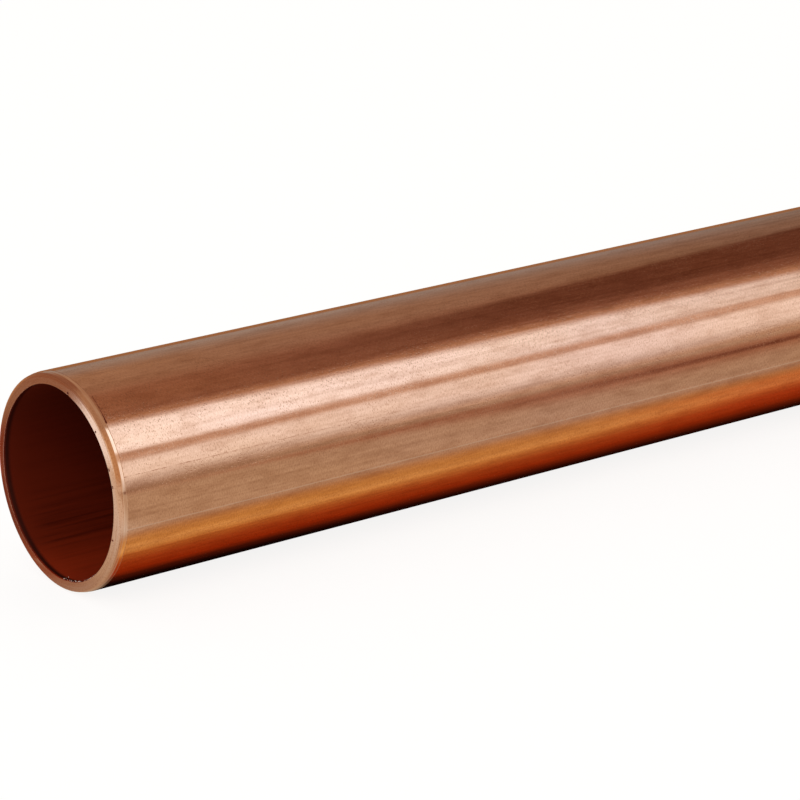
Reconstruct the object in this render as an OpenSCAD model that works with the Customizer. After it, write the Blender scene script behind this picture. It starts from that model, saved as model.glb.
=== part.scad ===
// Straight length of hard-drawn copper tube, lying on its side along X.
// The origin is below the middle of the tube, on the surface that it lies on.

/* [Tube] */
// Outside diameter
outside_d = 28; // [12:1:108]
// Wall thickness
wall = 1.5; // [0.8:0.1:3]
// Length, as sold
tube_length = 1000; // [250:50:6000]

/* [Cut ends] */
// Length along the tube of the bevel that the cutter rolled round the outer edge
bevel_run = 0.7; // [0.3:0.05:2]
// Depth of that bevel, measured on the radius
bevel_drop = 0.22; // [0.1:0.01:0.5]
// Length along the tube of the narrow land between the bevel and the wall
land_run = 0.45; // [0.2:0.05:2]
// Depth of the land at its front edge, measured on the radius
land_drop = 0.07; // [0.02:0.01:0.15]
// Depth of the break that the reamer left round the bore's edge, measured on the radius
bore_break = 0.08; // [0.02:0.01:0.1]
// Length along the tube of that break
bore_break_run = 0.6; // [0.1:0.05:2]

/* [Hidden] */
$fn = 180;

outside_r = outside_d / 2;
bore_r = outside_r - wall;

// Outline of the wall at a cut end, from the bore to the full outside diameter:
// radius first, then the distance from the end's plane.
end_outline = [
    [bore_r, bore_break_run],
    [bore_r + bore_break, 0],
    [outside_r - land_drop - bevel_drop, 0],
    [outside_r - land_drop, bevel_run],
    [outside_r, bevel_run + land_run]
];

// The other end is cut in the same way, and its outline runs back to the bore.
far_outline = [
    for (i = [len(end_outline) - 1 : -1 : 0])
        [end_outline[i][0], tube_length - end_outline[i][1]]
];

module wall_section() {
    polygon(concat(end_outline, far_outline));
}

module copper_tube() {
    color("#b8734a")
        translate([-tube_length / 2, 0, outside_r])
            rotate([0, 90, 0])
                rotate_extrude() wall_section();
}

copper_tube();
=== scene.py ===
"""A straight length of hard-drawn copper tube, lying on a pale floor in a light tent.

Metres, +Z up. The tube lies along X, and the end that the camera sees is at low X.
Angles round the tube are in degrees: 0 faces the front (-Y), 90 is the top, 180 the back and -90 the floor.
"""
import math
import random

import bpy
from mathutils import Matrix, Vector, noise


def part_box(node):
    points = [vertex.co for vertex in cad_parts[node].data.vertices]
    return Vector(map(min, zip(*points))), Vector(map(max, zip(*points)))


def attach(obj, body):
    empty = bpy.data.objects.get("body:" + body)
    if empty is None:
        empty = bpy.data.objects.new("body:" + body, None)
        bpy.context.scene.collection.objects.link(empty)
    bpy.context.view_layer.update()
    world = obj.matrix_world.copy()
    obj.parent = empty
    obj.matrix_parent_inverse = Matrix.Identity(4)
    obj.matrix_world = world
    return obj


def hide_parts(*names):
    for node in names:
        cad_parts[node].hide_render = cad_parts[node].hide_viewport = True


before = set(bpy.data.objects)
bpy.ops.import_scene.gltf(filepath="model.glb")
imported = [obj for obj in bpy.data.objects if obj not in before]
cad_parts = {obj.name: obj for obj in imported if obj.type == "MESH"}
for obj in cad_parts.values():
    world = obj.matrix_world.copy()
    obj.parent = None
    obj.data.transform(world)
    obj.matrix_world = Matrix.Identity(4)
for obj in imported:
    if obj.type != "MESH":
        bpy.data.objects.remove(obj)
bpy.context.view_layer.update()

MM = 0.001
tube_low, tube_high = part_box("copper_tube")
TUBE_LENGTH = tube_high.x - tube_low.x
OUTSIDE_R = (tube_high.z - tube_low.z) / 2
AXIS_HEIGHT = tube_low.z + OUTSIDE_R
NEAR_END = tube_low.x
FAR_END = tube_high.x
HALF_LENGTH_MM = TUBE_LENGTH / 2 / MM
MM_PER_DEGREE = math.radians(1) * OUTSIDE_R / MM


def linear(hex_colour, strength=1.0):
    """Linear RGBA of an sRGB hex colour, times a strength."""
    parts = [int(hex_colour[i:i + 2], 16) / 255 for i in (1, 3, 5)]
    flat = [p / 12.92 if p <= 0.04045 else ((p + 0.055) / 1.055) ** 2.4 for p in parts]
    return (flat[0] * strength, flat[1] * strength, flat[2] * strength, 1.0)


def smooth(value, start, stop):
    """0 at start and 1 at stop, with a smooth change between them. The stop may be the lower of the two."""
    t = min(max((value - start) / (stop - start), 0.0), 1.0)
    return t * t * (3 - 2 * t)


def blend(first, second, share):
    """The first colour with a share of the second one over it."""
    return tuple(a + (b - a) * share for a, b in zip(first, second))


def along_stops(value, stops):
    """The linear colour at a value, between stops of (value, hex colour)."""
    colour = linear(stops[0][1])
    for (start, _), (stop, hex_colour) in zip(stops, stops[1:]):
        share = min(max((value - start) / (stop - start), 0.0), 1.0)
        colour = blend(colour, linear(hex_colour), share)
    return colour


def add_node(tree, kind, links=None, values=None, stops=(), **settings):
    """One shader node with its settings, its sockets' values and links, and a ramp's stops."""
    made = tree.nodes.new(kind)
    for name, value in settings.items():
        setattr(made, name, value)
    for socket, value in (values or {}).items():
        made.inputs[socket].default_value = value
    for socket, source in (links or {}).items():
        tree.links.new(source, made.inputs[socket])
    for number, (position, hex_colour) in enumerate(stops):
        if number == len(made.color_ramp.elements):
            made.color_ramp.elements.new(position)
        made.color_ramp.elements[number].position = position
        made.color_ramp.elements[number].color = linear(hex_colour)
    return made


def new_material(name):
    """A material and its node tree, still empty."""
    material = bpy.data.materials.new(name)
    material.use_nodes = True
    material.node_tree.nodes.clear()
    return material, material.node_tree


def put_in_scene(name, data, *materials):
    """An object of a mesh with its materials, or of a light or a camera, linked to the scene."""
    made = bpy.data.objects.new(name, data)
    bpy.context.scene.collection.objects.link(made)
    for material in materials:
        data.materials.append(material)
    return made


# The surface unrolled, in mm: first along the section's outline from the middle of the wall, then round
# the tube from the front. Patterns on the copper are measured on this map.
UNROLLED = "unrolled_mm"
# Angle of the seam of that map, on the floor
SEAM = -90

# The end's outline, from the wall to the bore, in stretches of one finish: points are the depth below the
# outside radius and the distance from the end, in mm. A fine scored line runs behind the burnished land,
# and the face rolls over into the bevel. The wall's rings are close together there, because the dark smear
# behind the land is made of whole faces.
DRAWN, BURNISHED, CUT, OXIDISED, TORN = range(5)
STRETCHES = (
    (DRAWN, ((0.0, 1.6), (0.0, 1.5), (0.0, 1.42), (0.0, 1.34), (0.0, 1.26), (0.0, 1.2), (0.002, 1.16))),
    (BURNISHED, ((0.024, 1.14), (0.012, 1.12), (0.016, 1.08), (0.019, 1.05), (0.049, 0.75),
                 (0.054, 0.72))),
    (CUT, ((0.07, 0.67), (0.082, 0.62), (0.105, 0.5), (0.14, 0.34), (0.185, 0.2), (0.235, 0.11),
           (0.29, 0.06), (0.36, 0.032), (0.44, 0.016), (0.54, 0.005), (0.66, 0.0), (0.8, 0.0), (1.0, 0.0),
           (1.2, 0.0), (1.34, 0.0), (1.415, 0.0))),
    (OXIDISED, ((1.425, 0.001), (1.44, 0.015), (1.45, 0.05), (1.465, 0.15), (1.485, 0.4), (1.5, 0.65),
                (1.5, 1.0), (1.5, 2.0), (1.5, 4.0), (1.5, 12.0), (1.5, 40.0), (1.5, 150.0))),
)
OUTLINE = [point for _, points in STRETCHES for point in points]
FINISHES = [finish for finish, points in STRETCHES for _ in points]
# Bands along the wall between the two ends, and faces round the tube
WALL_STEPS = 20
SEGMENTS = 640

# How far along the unrolled outline each of its points lies, measured from the middle of the wall
RUN = [HALF_LENGTH_MM - OUTLINE[0][1]]
for before, after in zip(OUTLINE, OUTLINE[1:]):
    RUN.append(RUN[-1] + math.dist(before, after))
BORE_START = RUN[len(OUTLINE) - len(STRETCHES[-1][1])]

# Two lines that run along the front, as angles: one burnished by a scratch in the drawing die, and a
# broken score, which fades between these distances from the near end, in mm
DIE_LINE = -10
SCORE = 17.5
SCORE_FADE = (3, 65)


# Drawn copper, the tube's outside: bright metal with the die's fine lines along the tube, short pits
# across it, and a thin tarnish in soft pink and yellow patches.
def drawn_copper():
    material, tree = new_material("drawn copper")
    unrolled = add_node(tree, "ShaderNodeUVMap", uv_map=UNROLLED).outputs[0]
    # Tarnish: soft patches about 20 mm wide and 90 mm long
    patch_place = add_node(tree, "ShaderNodeVectorMath", operation="DIVIDE", links={0: unrolled},
                           values={1: (90, 20, 1)}).outputs[0]
    patches = add_node(tree, "ShaderNodeTexNoise", links={"Vector": patch_place},
                       values={"Scale": 1.0, "Detail": 4.0, "Roughness": 0.55}).outputs[0]
    tone = add_node(tree, "ShaderNodeValToRGB", links={0: patches},
                    stops=((0.38, "#fbd8bf"), (0.62, "#fadacd"))).outputs[0]
    # Drawing lines: 0.5 mm wide and 60 mm long. Real ones are finer, and these are as coarse as it takes
    # to show.
    line_place = add_node(tree, "ShaderNodeVectorMath", operation="DIVIDE", links={0: unrolled},
                          values={1: (60, 0.5, 1)}).outputs[0]
    lines = add_node(tree, "ShaderNodeTexNoise", links={"Vector": line_place},
                     values={"Scale": 1.0, "Detail": 3.0, "Roughness": 0.6}).outputs[0]
    line_shade = add_node(tree, "ShaderNodeValToRGB", links={0: lines},
                          stops=((0.3, "#efebe8"), (0.6, "#ffffff"))).outputs[0]
    lined = add_node(tree, "ShaderNodeMix", data_type="RGBA", blend_type="MULTIPLY",
                     links={6: tone, 7: line_shade}, values={0: 1.0}).outputs[2]
    # Smudges: 1.5 mm wide and 5 mm long, from handling
    smudge_place = add_node(tree, "ShaderNodeVectorMath", operation="DIVIDE", links={0: unrolled},
                            values={1: (5, 1.5, 1)}).outputs[0]
    smudges = add_node(tree, "ShaderNodeTexNoise", links={"Vector": smudge_place},
                       values={"Scale": 1.0, "Detail": 5.0, "Roughness": 0.65}).outputs[0]
    smudge_shade = add_node(tree, "ShaderNodeValToRGB", links={0: smudges},
                            stops=((0.34, "#ece5e0"), (0.56, "#ffffff"))).outputs[0]
    smudged = add_node(tree, "ShaderNodeMix", data_type="RGBA", blend_type="MULTIPLY",
                       links={6: lined, 7: smudge_shade}, values={0: 1.0}).outputs[2]
    # Grain: 0.13 mm along the tube and 0.4 mm across, left by the pickling bath
    grain_place = add_node(tree, "ShaderNodeVectorMath", operation="DIVIDE", links={0: unrolled},
                           values={1: (0.13, 0.4, 1)}).outputs[0]
    grain = add_node(tree, "ShaderNodeTexNoise", links={"Vector": grain_place},
                     values={"Scale": 1.0, "Detail": 2.0}).outputs[0]
    grain_shade = add_node(tree, "ShaderNodeValToRGB", links={0: grain},
                           stops=((0.3, "#e8e3df"), (0.6, "#ffffff"))).outputs[0]
    grained = add_node(tree, "ShaderNodeMix", data_type="RGBA", blend_type="MULTIPLY",
                       links={6: smudged, 7: grain_shade}, values={0: 1.0}).outputs[2]
    # Pits: in some cells of 0.2 by 0.4 mm, more where a patch of 8 by 5 mm is worn, each as large as its
    # cell's own random number makes it
    worn_place = add_node(tree, "ShaderNodeVectorMath", operation="DIVIDE", links={0: unrolled},
                          values={1: (8, 5, 1)}).outputs[0]
    worn = add_node(tree, "ShaderNodeTexNoise", links={"Vector": worn_place},
                    values={"Scale": 1.0, "Detail": 3.0}).outputs[0]
    worn_share = add_node(tree, "ShaderNodeMapRange", links={0: worn},
                          values={"From Min": 0.35, "From Max": 0.65,
                                  "To Min": -0.38, "To Max": -0.18}).outputs[0]
    cell_place = add_node(tree, "ShaderNodeVectorMath", operation="DIVIDE", links={0: unrolled},
                          values={1: (0.2, 0.4, 1)}).outputs[0]
    cells = add_node(tree, "ShaderNodeTexVoronoi", voronoi_dimensions="2D", links={"Vector": cell_place},
                     values={"Scale": 1.0})
    chance = add_node(tree, "ShaderNodeSeparateColor", links={0: cells.outputs["Color"]}).outputs[0]
    reach = add_node(tree, "ShaderNodeMath", operation="MULTIPLY_ADD", links={0: chance, 2: worn_share},
                     values={1: 0.6}).outputs[0]
    within = add_node(tree, "ShaderNodeMath", operation="SUBTRACT",
                      links={0: reach, 1: cells.outputs["Distance"]}).outputs[0]
    pits = add_node(tree, "ShaderNodeMapRange", links={0: within}, values={"From Max": 0.15}).outputs[0]
    pit_share = add_node(tree, "ShaderNodeMath", operation="MULTIPLY", links={0: pits},
                         values={1: 0.3}).outputs[0]
    pitted = add_node(tree, "ShaderNodeMix", data_type="RGBA", links={0: pit_share, 6: grained},
                      values={7: linear("#a4765c")}).outputs[2]
    # The burnished line: 0.16 mm wide
    places = add_node(tree, "ShaderNodeSeparateXYZ", links={0: unrolled})
    die_line = add_node(tree, "ShaderNodeMath", operation="COMPARE", links={0: places.outputs["Y"]},
                        values={1: DIE_LINE * MM_PER_DEGREE, 2: 0.16 / 2}).outputs[0]
    die_share = add_node(tree, "ShaderNodeMath", operation="MULTIPLY", links={0: die_line},
                         values={1: 0.3}).outputs[0]
    burnished = add_node(tree, "ShaderNodeMix", data_type="RGBA", links={0: die_share, 6: pitted},
                         values={7: linear("#ffffff")}).outputs[2]
    # The score: 0.1 mm wide, in dashes of about 1.3 mm
    score = add_node(tree, "ShaderNodeMath", operation="COMPARE", links={0: places.outputs["Y"]},
                     values={1: SCORE * MM_PER_DEGREE, 2: 0.1 / 2}).outputs[0]
    dash_place = add_node(tree, "ShaderNodeVectorMath", operation="DIVIDE", links={0: unrolled},
                          values={1: (1.3, 30, 1)}).outputs[0]
    dash_noise = add_node(tree, "ShaderNodeTexNoise", links={"Vector": dash_place},
                          values={"Scale": 1.0, "Detail": 5.0, "Roughness": 0.7}).outputs[0]
    dashes = add_node(tree, "ShaderNodeMapRange", links={0: dash_noise},
                      values={"From Min": 0.42, "From Max": 0.56}).outputs[0]
    fade = add_node(tree, "ShaderNodeMapRange", links={0: places.outputs["X"]},
                    values={"From Min": SCORE_FADE[0] - HALF_LENGTH_MM,
                            "From Max": SCORE_FADE[1] - HALF_LENGTH_MM,
                            "To Min": 1.0, "To Max": 0.0}).outputs[0]
    dash_share = add_node(tree, "ShaderNodeMath", operation="MULTIPLY",
                          links={0: dashes, 1: fade}).outputs[0]
    score_share = add_node(tree, "ShaderNodeMath", operation="MULTIPLY",
                           links={0: score, 1: dash_share}).outputs[0]
    scored = add_node(tree, "ShaderNodeMix", data_type="RGBA", links={0: score_share, 6: burnished},
                      values={7: linear("#b98a72")}).outputs[2]
    # Relief in mm: lines 0.002 deep, grain 0.0015 and pits 0.007
    line_height = add_node(tree, "ShaderNodeMath", operation="MULTIPLY", links={0: lines},
                           values={1: 0.002}).outputs[0]
    grain_height = add_node(tree, "ShaderNodeMath", operation="MULTIPLY_ADD",
                            links={0: grain, 2: line_height}, values={1: 0.0015}).outputs[0]
    height = add_node(tree, "ShaderNodeMath", operation="MULTIPLY_ADD", links={0: pits, 2: grain_height},
                      values={1: -0.007}).outputs[0]
    bump = add_node(tree, "ShaderNodeBump", links={"Height": height},
                    values={"Strength": 1.0, "Distance": MM}).outputs[0]
    rough = add_node(tree, "ShaderNodeMapRange", links={0: lines},
                     values={"From Min": 0.3, "From Max": 0.7, "To Min": 0.08, "To Max": 0.14}).outputs[0]
    shader = add_node(tree, "ShaderNodeBsdfPrincipled",
                      links={"Base Color": scored, "Roughness": rough, "Normal": bump},
                      values={"Metallic": 1.0}).outputs[0]
    add_node(tree, "ShaderNodeOutputMaterial", links={"Surface": shader})
    return material


# Burnished copper, the narrow land at the end: the cutter's rollers pressed it smooth, so it shines more.
def burnished_copper():
    material, tree = new_material("burnished copper")
    unrolled = add_node(tree, "ShaderNodeUVMap", uv_map=UNROLLED).outputs[0]
    # Roller marks: 0.1 mm wide and 2 mm long, round the tube
    mark_place = add_node(tree, "ShaderNodeVectorMath", operation="DIVIDE", links={0: unrolled},
                          values={1: (0.1, 2, 1)}).outputs[0]
    marks = add_node(tree, "ShaderNodeTexNoise", links={"Vector": mark_place},
                     values={"Scale": 1.0, "Detail": 2.0}).outputs[0]
    tone = add_node(tree, "ShaderNodeValToRGB", links={0: marks},
                    stops=((0.35, "#f4cfb6"), (0.6, "#fde3d3"))).outputs[0]
    shader = add_node(tree, "ShaderNodeBsdfPrincipled", links={"Base Color": tone},
                      values={"Roughness": 0.09, "Metallic": 1.0}).outputs[0]
    add_node(tree, "ShaderNodeOutputMaterial", links={"Surface": shader})
    return material


# Cut copper, the end's face and bevel: bare metal with the cutter's fine rings and a little grit.
def cut_copper():
    material, tree = new_material("cut copper")
    unrolled = add_node(tree, "ShaderNodeUVMap", uv_map=UNROLLED).outputs[0]
    # Rings: 0.12 mm wide, broken every 12 mm or so
    ring_place = add_node(tree, "ShaderNodeVectorMath", operation="DIVIDE", links={0: unrolled},
                          values={1: (0.12, 12, 1)}).outputs[0]
    rings = add_node(tree, "ShaderNodeTexNoise", links={"Vector": ring_place},
                     values={"Scale": 1.0, "Detail": 2.0}).outputs[0]
    ring_tone = add_node(tree, "ShaderNodeValToRGB", links={0: rings},
                         stops=((0.35, "#efc3a6"), (0.6, "#f8d6c2"))).outputs[0]
    # Grit: 0.25 mm grains, in relief 0.003 mm high
    grit_place = add_node(tree, "ShaderNodeVectorMath", operation="DIVIDE", links={0: unrolled},
                          values={1: (0.25, 0.25, 1)}).outputs[0]
    grit = add_node(tree, "ShaderNodeTexNoise", links={"Vector": grit_place},
                    values={"Scale": 1.0, "Detail": 4.0, "Roughness": 0.7}).outputs[0]
    grit_shade = add_node(tree, "ShaderNodeValToRGB", links={0: grit},
                          stops=((0.27, "#7a4a36"), (0.34, "#e6dcd4"), (0.5, "#ffffff"))).outputs[0]
    gritty = add_node(tree, "ShaderNodeMix", data_type="RGBA", blend_type="MULTIPLY",
                      links={6: ring_tone, 7: grit_shade}, values={0: 1.0}).outputs[2]
    bump = add_node(tree, "ShaderNodeBump", links={"Height": grit},
                    values={"Strength": 1.0, "Distance": 0.003 * MM}).outputs[0]
    shader = add_node(tree, "ShaderNodeBsdfPrincipled", links={"Base Color": gritty, "Normal": bump},
                      values={"Roughness": 0.08, "Metallic": 1.0}).outputs[0]
    add_node(tree, "ShaderNodeOutputMaterial", links={"Surface": shader})
    return material


# Torn copper, the crumbs of the burr: too rough to mirror anything, with lime dust on them, so they look
# whitish. They are too small to show a pattern.
def torn_copper():
    material, tree = new_material("torn copper")
    shader = add_node(tree, "ShaderNodeBsdfPrincipled",
                      values={"Base Color": linear("#f0dace"), "Roughness": 0.7,
                              "Metallic": 0.4}).outputs[0]
    add_node(tree, "ShaderNodeOutputMaterial", links={"Surface": shader})
    return material


# Oxidised copper, the bore: drawing oil burnt on in the furnace leaves the inside dull and red-brown, with
# streaks along the tube and a dark ring just behind the reamed edge.
# Painted light makes it lighter and redder at the bottom, where light from the open end falls, and darker
# towards the top.
def oxidised_copper():
    material, tree = new_material("oxidised copper")
    # Painted light and shade: the tone by the height in the tube, from 0 at the floor to 1 at the top,
    # lighter and redder at the bottom and darker towards the top
    place = add_node(tree, "ShaderNodeTexCoord").outputs["Object"]
    height = add_node(tree, "ShaderNodeSeparateXYZ", links={0: place}).outputs["Z"]
    level = add_node(tree, "ShaderNodeMapRange", links={0: height},
                     values={"From Min": AXIS_HEIGHT - OUTSIDE_R,
                             "From Max": AXIS_HEIGHT + OUTSIDE_R}).outputs[0]
    tone = add_node(tree, "ShaderNodeValToRGB", links={0: level},
                    stops=((0.05, "#8c290e"), (0.14, "#681d09"), (0.6, "#5f1a09"),
                           (0.8, "#541808"))).outputs[0]
    # Streaks: 0.7 mm wide and 30 mm long, clear low in the bore, where the oil ran together, faint above,
    # and none by the ends, from 1 to 4 mm inside
    unrolled = add_node(tree, "ShaderNodeUVMap", uv_map=UNROLLED).outputs[0]
    streak_place = add_node(tree, "ShaderNodeVectorMath", operation="DIVIDE", links={0: unrolled},
                            values={1: (30, 0.7, 1)}).outputs[0]
    streaks = add_node(tree, "ShaderNodeTexNoise", links={"Vector": streak_place},
                       values={"Scale": 1.0, "Detail": 4.0, "Roughness": 0.6}).outputs[0]
    streak_shade = add_node(tree, "ShaderNodeValToRGB", links={0: streaks},
                            stops=((0.4, "#9c8c84"), (0.56, "#ffffff"))).outputs[0]
    along = add_node(tree, "ShaderNodeSeparateXYZ", links={0: unrolled}).outputs["X"]
    from_middle = add_node(tree, "ShaderNodeMath", operation="ABSOLUTE", links={0: along}).outputs[0]
    inner_share = add_node(tree, "ShaderNodeMapRange", links={0: from_middle},
                           values={"From Min": BORE_START + 1, "From Max": BORE_START + 4}).outputs[0]
    low_share = add_node(tree, "ShaderNodeValToRGB", links={0: level},
                         stops=((0.08, "#909090"), (0.13, "#d2d2d2"), (0.2, "#d2d2d2"),
                                (0.33, "#606060"))).outputs[0]
    streak_share = add_node(tree, "ShaderNodeMath", operation="MULTIPLY",
                            links={0: inner_share, 1: low_share}).outputs[0]
    streaked = add_node(tree, "ShaderNodeMix", data_type="RGBA", blend_type="MULTIPLY",
                        links={0: streak_share, 6: tone, 7: streak_shade}).outputs[2]
    # A dark ring: in the first 1 mm of the bore, darkest from 0.3 to 0.6 mm inside the reamed edge
    inside = add_node(tree, "ShaderNodeMapRange", links={0: from_middle},
                      values={"From Min": BORE_START, "From Max": BORE_START + 2}).outputs[0]
    dark_ring = add_node(tree, "ShaderNodeValToRGB", links={0: inside},
                    stops=((0.0, "#606060"), (0.07, "#808080"), (0.14, "#ffffff"), (0.28, "#ffffff"),
                           (0.5, "#000000"))).outputs[0]
    ringed = add_node(tree, "ShaderNodeMix", data_type="RGBA", links={0: dark_ring, 6: streaked},
                      values={7: linear("#340d06")}).outputs[2]
    bump = add_node(tree, "ShaderNodeBump", links={"Height": streaks},
                    values={"Strength": 1.0, "Distance": 0.01 * MM}).outputs[0]
    shader = add_node(tree, "ShaderNodeBsdfPrincipled", links={"Base Color": ringed, "Normal": bump},
                      values={"Roughness": 0.5, "Specular IOR Level": 0.15, "Metallic": 0.3}).outputs[0]
    add_node(tree, "ShaderNodeOutputMaterial", links={"Surface": shader})
    return material


# Wear of the bore's edge at the near end, with angles in degrees and other sizes in mm. It comes in
# between two depths below the outside and goes out between two distances from the end, and where the edge
# gives way it also moves back along the tube, by a share of that.
EDGE_DEPTHS = (1.0, 1.4)
EDGE_DISTANCES = (0.7, 0.1)
EDGE_BACK_SHARE = 0.1
# A fine shake all round: how far, and the radius of the circle on which the noise is read
SHAKE = 0.02
SHAKE_CIRCLE = 40
# Nicks, each with a dark band beside it on the end's face: angle, half width, depth
NICKS = ((76, 0.8, 0.03), (45, 0.8, 0.03), (23, 0.8, 0.05), (13, 0.9, 0.05), (-18, 0.7, 0.02))
# Depths on the end's face between which the dark band beside a nick lies
NICK_DARK_DEPTHS = (1.1, 1.36)
# Where the reamer cut deepest, and as a minus where it cut least, in the same way
REAMED = ((12, 15, 0.1), (214, 38, 0.14), (130, 24, -0.1))
# The stretch near the floor where the cut left a torn burr, the angle in which it grows to its full
# reach, and the circle for its grains
BURR_FROM, BURR_TO = -90, -50
BURR_GROWS = 8
BURR_REACH = 0.3
BURR_CIRCLE = 60
# Crumbs of copper on that stretch: how many, their sizes, how far inside the end they lie at most, and the
# factors of that from which each crumb takes one. Their middles stand off the bore by a share of the size,
# and each corner's reach is a share of it too.
CRUMBS = 32
CRUMB_SIZES = (0.05, 0.1)
CRUMB_INSIDE = 0.2
CRUMB_FACTORS = (1, 1, 5)
CRUMB_RISE = 0.3
CRUMB_CORNERS = (0.6, 1.2)
# A dark smear on the wall behind the land, between these angles: it starts this far from the end
# at the lower angle and leaves the scored line by this much per degree. Its width shrinks from the first
# value to the second over the first few degrees, and it stays on the faces above a depth.
SMEAR_FROM, SMEAR_TO = 46, 64
SMEAR_START = 1.11
SMEAR_LEAN = 0.018
SMEAR_WIDTHS = (0.2, 0.07)
SMEAR_SHRINKS = 8
SMEAR_MAX_DEPTH = 0.03


def edge_damage(angle):
    """How far the bore's edge gives way at an angle, in mm: a shake, all cuts, and the burr as a minus."""
    a = math.radians(angle)
    shake = noise.noise(Vector((SHAKE_CIRCLE * math.cos(a), SHAKE_CIRCLE * math.sin(a), 3)))
    grains = noise.noise(Vector((BURR_CIRCLE * math.cos(a), BURR_CIRCLE * math.sin(a), 7)))
    turned = (angle + 270) % 360 - 270
    torn = smooth(turned, BURR_FROM, BURR_FROM + BURR_GROWS)
    torn *= smooth(turned, BURR_TO, BURR_TO - BURR_GROWS)
    cuts = sum(depth * math.exp(-((angle - at) / half) ** 2) for at, half, depth in NICKS + REAMED)
    return SHAKE * shake + cuts - BURR_REACH * torn * max(grains, 0)


def ring_points(depth, distance, near):
    """The points of one ring: a depth below the outside radius and a distance from its end, in mm."""
    x = NEAR_END + distance * MM if near else FAR_END - distance * MM
    by_edge = smooth(depth, *EDGE_DEPTHS) * smooth(distance, *EDGE_DISTANCES) if near else 0.0
    points = []
    for step in range(SEGMENTS):
        angle = SEAM + 360 * step / SEGMENTS
        damage = by_edge * edge_damage(angle) if by_edge else 0.0
        back = EDGE_BACK_SHARE * max(damage, 0) * MM
        r = OUTSIDE_R - (depth - damage) * MM
        a = math.radians(angle)
        points.append((x + back, -r * math.cos(a), AXIS_HEIGHT + r * math.sin(a)))
    return points


def crumb_points(chance):
    """The six corners of one crumb, partly sunk in the bore just inside the near end."""
    angle = math.radians(chance.uniform(BURR_FROM, BURR_TO))
    size = chance.uniform(*CRUMB_SIZES) * MM
    along = NEAR_END + size + chance.uniform(0.0, CRUMB_INSIDE) * chance.choice(CRUMB_FACTORS) * MM
    r = OUTSIDE_R - OUTLINE[-1][0] * MM - CRUMB_RISE * size
    middle = Vector((along, -r * math.cos(angle), AXIS_HEIGHT + r * math.sin(angle)))
    ways = ((1, 0, 0), (0, 1, 0), (0, 0, 1), (-1, 0, 0), (0, -1, 0), (0, 0, -1))
    return [tuple(middle + Vector(way) * size * chance.uniform(*CRUMB_CORNERS)) for way in ways]


def darkened_face(ring, step):
    """Whether a face of the near end, between a ring and the next one, is darkened: in the smear behind the
    land, or beside a nick.
    """
    if ring + 1 >= len(OUTLINE):
        return False
    angle = SEAM + 360 * (step + 0.5) / SEGMENTS
    depth, distance = OUTLINE[ring + 1]
    if SMEAR_FROM < angle < SMEAR_TO and depth < SMEAR_MAX_DEPTH:
        behind = distance - SMEAR_START - SMEAR_LEAN * (angle - SMEAR_FROM)
        lower, upper = SMEAR_WIDTHS
        return 0 < behind < lower + (upper - lower) * smooth(angle, SMEAR_FROM, SMEAR_FROM + SMEAR_SHRINKS)
    by_nick = any(abs(angle - at) < half for at, half, _ in NICKS)
    return by_nick and NICK_DARK_DEPTHS[0] < depth < NICK_DARK_DEPTHS[1]


def tube_mesh():
    """The whole tube as one closed skin, ring by ring: near end, bore, far end, and back along the wall."""
    rings = [(depth, distance, True) for depth, distance in OUTLINE]
    rings += [(depth, distance, False) for depth, distance in reversed(OUTLINE)]
    runs = [-run for run in RUN] + RUN[::-1]
    # The finish of the band of faces after each ring
    bands = FINISHES + FINISHES[-2::-1] + [DRAWN] * WALL_STEPS
    for step in range(1, WALL_STEPS):
        run = RUN[0] * (1 - 2 * step / WALL_STEPS)
        rings.append((0.0, HALF_LENGTH_MM - run, False))
        runs.append(run)
    vertices = []
    for depth, distance, near in rings:
        vertices += ring_points(depth, distance, near)
    faces = []
    finishes = []
    unrolled = []
    for ring in range(len(rings)):
        after = (ring + 1) % len(rings)
        for step in range(SEGMENTS):
            turn = (step + 1) % SEGMENTS
            faces.append((ring * SEGMENTS + step, ring * SEGMENTS + turn,
                          after * SEGMENTS + turn, after * SEGMENTS + step))
            finishes.append(OXIDISED if darkened_face(ring, step) else bands[ring])
            low = (SEAM + 360 * step / SEGMENTS) * MM_PER_DEGREE
            high = (SEAM + 360 * (step + 1) / SEGMENTS) * MM_PER_DEGREE
            unrolled += (runs[ring], low, runs[ring], high, runs[after], high, runs[after], low)
    # Each crumb has eight faces, between the four corners of its belt and the two others
    chance = random.Random(7)
    for _ in range(CRUMBS):
        first = len(vertices)
        vertices += crumb_points(chance)
        for a, b in ((0, 1), (1, 3), (3, 4), (4, 0)):
            faces += [(first + a, first + b, first + 2), (first + b, first + a, first + 5)]
            finishes += [TORN] * 2
            unrolled += [0.0] * 12
    mesh = bpy.data.meshes.new("copper_tube_skin")
    mesh.from_pydata(vertices, [], faces)
    mesh.polygons.foreach_set("material_index", finishes)
    mesh.polygons.foreach_set("use_smooth", [True] * len(faces))
    mesh.uv_layers.new(name=UNROLLED).uv.foreach_set("vector", unrolled)
    return mesh


tube = put_in_scene("drawn_tube", tube_mesh(), drawn_copper(), burnished_copper(), cut_copper(),
                    oxidised_copper(), torn_copper())
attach(tube, "root")
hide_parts("copper_tube")


# The light tent: cloth all round the tube, seen only in the copper's reflections. Each panel runs along
# the tube between two angles, with soft edges, over the panels before it. A panel can lean, so that its
# edges turn by some degrees for each metre along the tube, between two places on it, and it can fade, from
# the x where it is gone to the x where it is whole.
TENT_R = 2.0
TENT_HALF_LENGTH = 6.0
LEAN_FROM, LEAN_TO = 0.7, 1.5


def panel(start, stop, colour, strength=1.0, soft=(8, 8), lean=(0, 0), fade=None):
    """One panel: soft and lean hold the values of its first and its last edge."""
    return {"edges": (start, stop), "colour": linear(colour, strength), "soft": soft, "lean": lean,
            "fade": fade}


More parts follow.
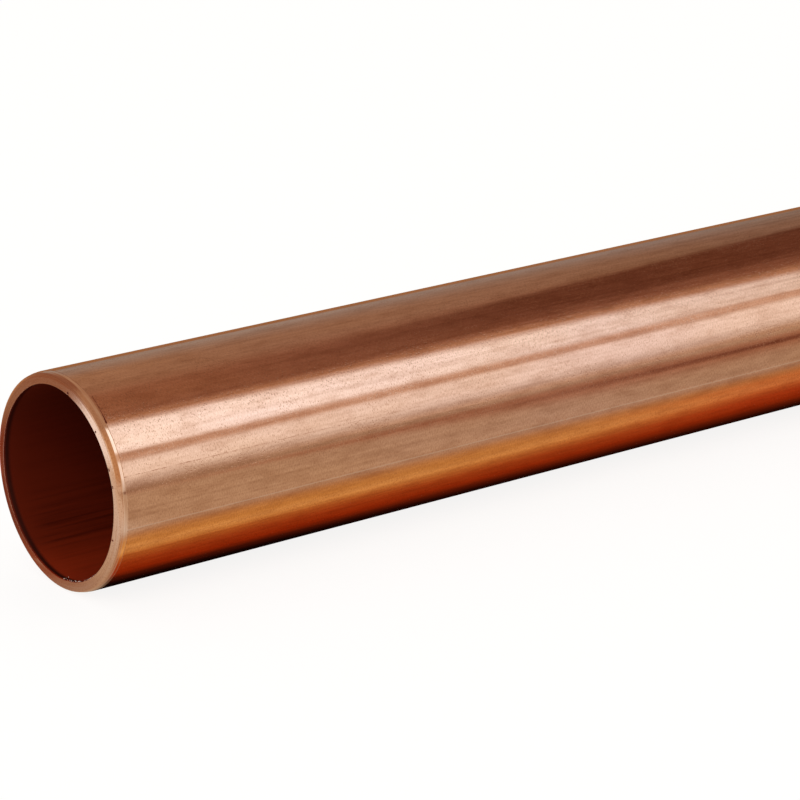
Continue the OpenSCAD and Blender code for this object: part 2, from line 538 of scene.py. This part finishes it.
PANELS = {
    "cloth": panel(-180, 360, "#9b785f"),
    "back wall": panel(154, 260, "#a09288", soft=(42, 8)),
    "back wall's far part": panel(116, 260, "#6f5d50", soft=(24, 8), fade=(0.8, 2.2)),
    "back table edge": panel(174, 220, "#9c6a44", soft=(5, 8)),
    "ceiling": panel(70, 112, "#8f6149", soft=(8, 24)),
    "ceiling over the near end": panel(78, 112, "#9c6d51", soft=(8, 24), fade=(0.84, 0.66)),
    "cloth over the near end": panel(112, 146, "#a88366", soft=(24, 14), fade=(0.84, 0.66)),
    "ceiling flag": panel(81, 98, "#673e2c", soft=(20, 6), lean=(0, 36), fade=(0.72, 1.2)),
    "seam between the lights": panel(16, 48, "#cfa98e"),
    "ceiling's near part": panel(72, 150, "#a9866a", soft=(8, 24), fade=(0.5, 0.2)),
    "horizon": panel(-8, 5, "#c8a78b", soft=(2, 8), fade=(0.72, 0.95)),
    "front table edge": panel(-5, 0.5, "#744630", soft=(3, 3), fade=(0.86, 0.7)),
    "left back": panel(112, 172, "#8b6049", soft=(20, 6), fade=(0.3, 0.1)),
    "left wing": panel(-60, 96, "#b28f72", soft=(8, 20), fade=(0.06, -0.3)),
    "left wing's lower part": panel(-60, 58, "#c2986f", soft=(8, 20), fade=(0.06, -0.3)),
    "left wing's end": panel(24, 85, "#ead3b6", soft=(24, 24), fade=(-0.8, -2.8)),
    "left end": panel(-60, 172, "#f4e8d8", soft=(8, 10), fade=(-2.2, -4.6)),
    "left horizon": panel(-60, 8, "#d2bca6", soft=(8, 16), fade=(0.3, 0.05)),
    "upper light's frame": panel(60, 74, "#b98a66", soft=(4, 8), lean=(0, -7), fade=(-0.1, 0.08)),
    "upper light": panel(37, 67, "#fffdfa", 1.2, soft=(4, 8), lean=(7, -9), fade=(-0.1, 0.08)),
    "upper light's far part": panel(37, 67, "#fff2e6", 0.8, soft=(4, 8), lean=(7, -9), fade=(0.75, 1.6)),
    "upper light's near corner": panel(63, 90, "#a9866a", soft=(4, 8), fade=(0.55, 0.4)),
    "lower light": panel(6, 28, "#fdf3ea", soft=(18, 4), lean=(2, 7), fade=(-0.1, 0.08)),
}


def tent_light(x, angle):
    """The tent's light at a place, from all panels."""
    colour = (0.0, 0.0, 0.0, 1.0)
    leant = min(max(x, LEAN_FROM), LEAN_TO) - LEAN_FROM
    for piece in PANELS.values():
        start, stop = [edge + lean * leant for edge, lean in zip(piece["edges"], piece["lean"])]
        first, last = piece["soft"]
        share = smooth(angle, start - first / 2, start + first / 2)
        share *= smooth(angle, stop + last / 2, stop - last / 2)
        if piece["fade"]:
            share *= smooth(x, *piece["fade"])
        colour = blend(colour, piece["colour"], share)
    return colour


def tent_point(x, angle):
    """A point of the tent, which closes to a point at either end."""
    r = TENT_R if abs(x) < TENT_HALF_LENGTH - MM else 0.0
    return (x, -r * math.cos(math.radians(angle)), AXIS_HEIGHT + r * math.sin(math.radians(angle)))


# Name of the light that is painted on each point of a grid
PAINT = "light"


# Lit cloth, the tent and the table in reflections: it gives light of its own, in the painted colour.
def lit_cloth():
    material, tree = new_material("lit cloth")
    paint = add_node(tree, "ShaderNodeVertexColor", layer_name=PAINT).outputs["Color"]
    glow = add_node(tree, "ShaderNodeEmission", links={"Color": paint}).outputs[0]
    add_node(tree, "ShaderNodeOutputMaterial", links={"Surface": glow})
    material.cycles.emission_sampling = "NONE"
    return material


def lit_grid(name, columns, rows, corner, colour, material):
    """A grid whose points and colours come from two functions of its column and row values."""
    vertices = [corner(c, r) for c in columns for r in rows]
    wide = len(rows)
    faces = [(i * wide + j, i * wide + j + 1, (i + 1) * wide + j + 1, (i + 1) * wide + j)
             for i in range(len(columns) - 1) for j in range(wide - 1)]
    mesh = bpy.data.meshes.new(name)
    mesh.from_pydata(vertices, [], faces)
    paint = mesh.color_attributes.new(PAINT, "FLOAT_COLOR", "POINT")
    paint.data.foreach_set("color", [v for c in columns for r in rows for v in colour(c, r)])
    made = put_in_scene(name, mesh, material)
    made.visible_camera = False
    made.visible_diffuse = False
    made.visible_shadow = False


cloth = lit_cloth()
tent_x = [-TENT_HALF_LENGTH + 0.1 * i for i in range(121)]
tent_angles = [-60 + i for i in range(301)]
lit_grid("light_tent", tent_x, tent_angles, tent_point, tent_light, cloth)

# The table as the copper mirrors it, with distances in outside radii. Beside the tube it holds a painted
# contact shadow at the touching line and a painted copper glow close by, of light that the tube throws
# back, and then tan cloth: stops are distances from the axis, and further along the tube they lie closer to
# it by this shift.
TABLE_CLOTH = "#bba086"
PAINTED_SHADOW_AND_GLOW = ((0.0, "#030000"), (0.42, "#100402"), (0.56, "#421407"), (0.69, "#8f2c0a"), (0.88, "#9f421a"),
          (1.04, "#b4672f"), (1.12, "#cf9350"), (1.22, "#dca663"), (1.33, "#cc9450"), (1.5, "#c48f54"),
          (1.62, "#b98a5e"), (1.76, "#b5957a"), (1.89, "#c0a48c"), (1.98, TABLE_CLOTH))
BESIDE_SHIFT = 0.035
BESIDE_SHIFT_ALONG = (2.0, 5.0)
# Beyond an end there is brown cloth in the tube's painted shadow, and in front of it pale cloth in painted
# light with a white card on it: stops are distances from the end's foot
SHADED_BROWN_CLOTH = ((0.2, "#94624b"), (1.0, "#8c5039"), (1.8, "#743f2e"), (4.4, "#80402c"), (5.4, "#967058"),
               (9.0, "#8f6048"), (25.0, "#875a41"))
LIT_PALE_CLOTH = ((0.1, "#9d7f6c"), (0.6, "#b8a189"), (2.0, "#d3c8bb"), (3.2, "#d4c2ae"), (10.0, "#d2c0aa"),
              (25.0, TABLE_CLOTH))
CARD = ((10.0, "#fafafa"), (25.0, TABLE_CLOTH))
# The soft edges of that lit pale cloth, where the painted shadow begins, from where it is gone to where it
# is whole: a direction from the end's foot in degrees, and a line that slants back, given where it meets
# the end's plane
PALE_SIDE = (63, 58.5)
PALE_BACK = (2.4, 2.0)
PALE_SLANT = 0.72
# How far behind the axis the card starts
CARD_FRONT = (2.4, 3.1)
# The lit pale cloth goes on a little way round the end's front corner: along the tube, and out from the
# axis
CORNER_ALONG = (1.2, 0.2)
CORNER_OUT = (1.4, 2.2)
# How far along the tube the table's front edge comes for each step out from the axis
FRONT_SLANT = 0.65


def patch(colour, *edges, strength=1.0):
    """A patch of light on the table. Each edge names a distance, then where the patch is gone and whole."""
    return linear(colour), edges, strength


BEYOND_END = {
    "tube's glow": patch("#a5674f", ("behind", 2.8, 3.4), ("beyond", 1.5, 1.0)),
    "table's edge": patch("#b48a64", ("behind", 5.2, 7.0), ("direction", 62, 68)),
}
BOTH_SIDES = {
    "shade further along": patch("#3a1a0c", ("along", 5.0, 9.0), strength=0.06),
    "glow further along": patch("#c81400", ("along", 5.0, 9.0), ("out", 0.6, 1.0), ("out", 1.6, 1.3),
                                strength=0.35),
    "lit cloth at the end's foot": patch("#b49a80", ("inside", 0.25, 0.11)),
}
AT_BACK = {
    "tube's glow": patch("#a5674f", ("out", 2.0, 2.8), ("inside", 2.0, 0.5)),
    "table's edge": patch("#a06c42", ("out", 3.0, 8.0)),
}
# In front: a reddish band of painted shade on the cloth, darker in its core, and the table's edge
IN_FRONT = {
    "reddish band of painted shade": patch("#a0684c", ("out", 2.4, 4.8), ("out", 22.0, 9.0), ("along", 5.8, 8.6),
                              strength=0.75),
    "dark core of the painted shade": patch("#6e3c2c", ("out", 4.6, 5.8), ("out", 8.0, 6.4), ("along", 7.5, 12.0)),
    "table's edge": patch("#744630", ("out", 15.0, 22.0), ("slant", 0.5, -1.5), ("along", 5.0, 9.0)),
}


def lay_patches(colour, patches, distances):
    """A colour with patches over it, one after another, at the place that has these distances."""
    for light, edges, strength in patches.values():
        share = strength
        for name, gone, whole in edges:
            share *= smooth(distances[name], gone, whole)
        colour = blend(colour, light, share)
    return colour


def light_beyond_end(beyond, behind):
    """The table's light this far beyond an end and this far behind the axis."""
    reach = math.hypot(beyond, behind)
    direction = math.degrees(math.atan2(behind, beyond))
    distances = {"beyond": beyond, "behind": behind, "direction": direction}
    # Brown cloth in the tube's painted shadow behind the slanting line, pale cloth in painted light before
    # it
    shaded_brown = lay_patches(along_stops(reach, SHADED_BROWN_CLOTH), BEYOND_END, distances)
    lit_pale = blend(along_stops(reach, LIT_PALE_CLOTH), along_stops(reach, CARD), smooth(behind, *CARD_FRONT))
    lit_share = smooth(behind - PALE_SLANT * beyond, *PALE_BACK) * smooth(direction, *PALE_SIDE)
    return blend(shaded_brown, lit_pale, lit_share)


def light_beside_tube(along, behind):
    """The table's light this far from the near end and this far behind the axis."""
    out = abs(behind)
    inside = min(along, TUBE_LENGTH / OUTSIDE_R - along)
    distances = {"along": along, "inside": inside, "out": out, "slant": along - FRONT_SLANT * out}
    shifted = out + BESIDE_SHIFT * smooth(along, *BESIDE_SHIFT_ALONG)
    # The painted contact shadow and copper glow beside the tube
    colour = lay_patches(along_stops(shifted, PAINTED_SHADOW_AND_GLOW), BOTH_SIDES, distances)
    if behind > 0:
        return lay_patches(colour, AT_BACK, distances)
    corner_share = smooth(inside, *CORNER_ALONG) * smooth(out, *CORNER_OUT)
    colour = blend(colour, along_stops(out, LIT_PALE_CLOTH), corner_share)
    return lay_patches(colour, IN_FRONT, distances)


def table_light(x, y):
    """The table's light at a place."""
    beyond = max(NEAR_END - x, x - FAR_END) / OUTSIDE_R
    if beyond > 0:
        return light_beyond_end(beyond, y / OUTSIDE_R)
    return light_beside_tube((x - NEAR_END) / OUTSIDE_R, y / OUTSIDE_R)


def table_point(x, y):
    """A point of the table, just below the floor that the camera sees."""
    return (x, y, -0.2 * MM)


# The table's grid lines in outside radii, closer together where its light changes more: out from the
# axis, beyond an end, beside an end, and along the tube
out_lines = [near for near, _ in PAINTED_SHADOW_AND_GLOW] + [0.2 * i for i in range(11, 29)]
out_lines += [6.4, 7.2, 8.0, 9.0, 10.0, 11.0, 13.0, 15.0, 18.0, 25.0, 40.0, 400.0]
beyond_lines = [0.01] + [0.2 * i for i in range(1, 23)] + [5.0, 6.0, 7.5, 9.0, 12.0, 20.0, 30.0, 400.0]
end_lines = [0.0, 0.05, 0.1, 0.15, 0.2, 0.25, 0.3, 0.5, 0.8, 1.2]
along_lines = [2.0 * i for i in range(1, 24)]
table_y = [-d * OUTSIDE_R for d in reversed(out_lines[1:])] + [d * OUTSIDE_R for d in out_lines]
table_x = [NEAR_END - d * OUTSIDE_R for d in reversed(beyond_lines)]
table_x += [NEAR_END + d * OUTSIDE_R for d in end_lines + along_lines]
table_x += [FAR_END - d * OUTSIDE_R for d in reversed(end_lines)]
table_x += [FAR_END + d * OUTSIDE_R for d in beyond_lines]
lit_grid("table_glow", table_x, table_y, table_point, table_light, cloth)


# White acrylic, the floor that the camera sees: a matt sheet on a light table, which glows evenly, so the
# tube's shadow is faint.
def white_acrylic():
    material, tree = new_material("white acrylic")
    shader = add_node(tree, "ShaderNodeBsdfPrincipled",
                      values={"Base Color": linear("#5a5958"), "Roughness": 0.9,
                              "Emission Color": linear("#fdfcfb"), "Emission Strength": 0.9}).outputs[0]
    add_node(tree, "ShaderNodeOutputMaterial", links={"Surface": shader})
    return material


FLOOR_HALF = 40.0
floor_mesh = bpy.data.meshes.new("floor")
floor_mesh.from_pydata([(-FLOOR_HALF, -FLOOR_HALF, 0), (FLOOR_HALF, -FLOOR_HALF, 0),
                        (FLOOR_HALF, FLOOR_HALF, 0), (-FLOOR_HALF, FLOOR_HALF, 0)], [], [(0, 1, 2, 3)])
floor = put_in_scene("floor", floor_mesh, white_acrylic())
floor.visible_glossy = False

# Even white light from all round, which the floor shows
world = bpy.data.worlds.new("white room")
bpy.context.scene.world = world
world.use_nodes = True
world.node_tree.nodes["Background"].inputs["Color"].default_value = linear("#ffffff")
world.node_tree.nodes["Background"].inputs["Strength"].default_value = 1.0

# A soft light before the near end, which reaches into the bore. The copper mirrors the tent alone.
END_CENTRE = Vector((NEAR_END, 0, AXIS_HEIGHT))
KEY_FROM_END = Vector((-1.0, -0.55, 0.9))
key_data = bpy.data.lights.new("key", "AREA")
key_data.shape = "DISK"
key_data.size = 0.9
key_data.energy = 8.0
key = put_in_scene("key", key_data)
key.location = END_CENTRE + KEY_FROM_END
key.rotation_euler = (-KEY_FROM_END).to_track_quat("-Z", "Y").to_euler()
key.visible_glossy = False

# The camera, from the tube's outlines and the ellipses of its end in the photograph: its place from the
# near end's centre in outside radii, its angles down and to the right in degrees, and its lens in mm
CAMERA_FROM_END = Vector((-15.049, -24.317, 9.996))
CAMERA_TILT = 17.97
CAMERA_TURN = 37.82
CAMERA_LENS = 153.68
camera_data = bpy.data.cameras.new("camera")
camera_data.sensor_fit = "HORIZONTAL"
camera_data.sensor_width = 36.0
camera_data.lens = CAMERA_LENS
camera_data.clip_end = 200.0
camera = put_in_scene("camera", camera_data)
camera.location = END_CENTRE + CAMERA_FROM_END * OUTSIDE_R
camera.rotation_euler = (math.radians(90 - CAMERA_TILT), 0, math.radians(-CAMERA_TURN))
bpy.context.scene.camera = camera
bpy.context.scene.view_settings.view_transform = "Standard"
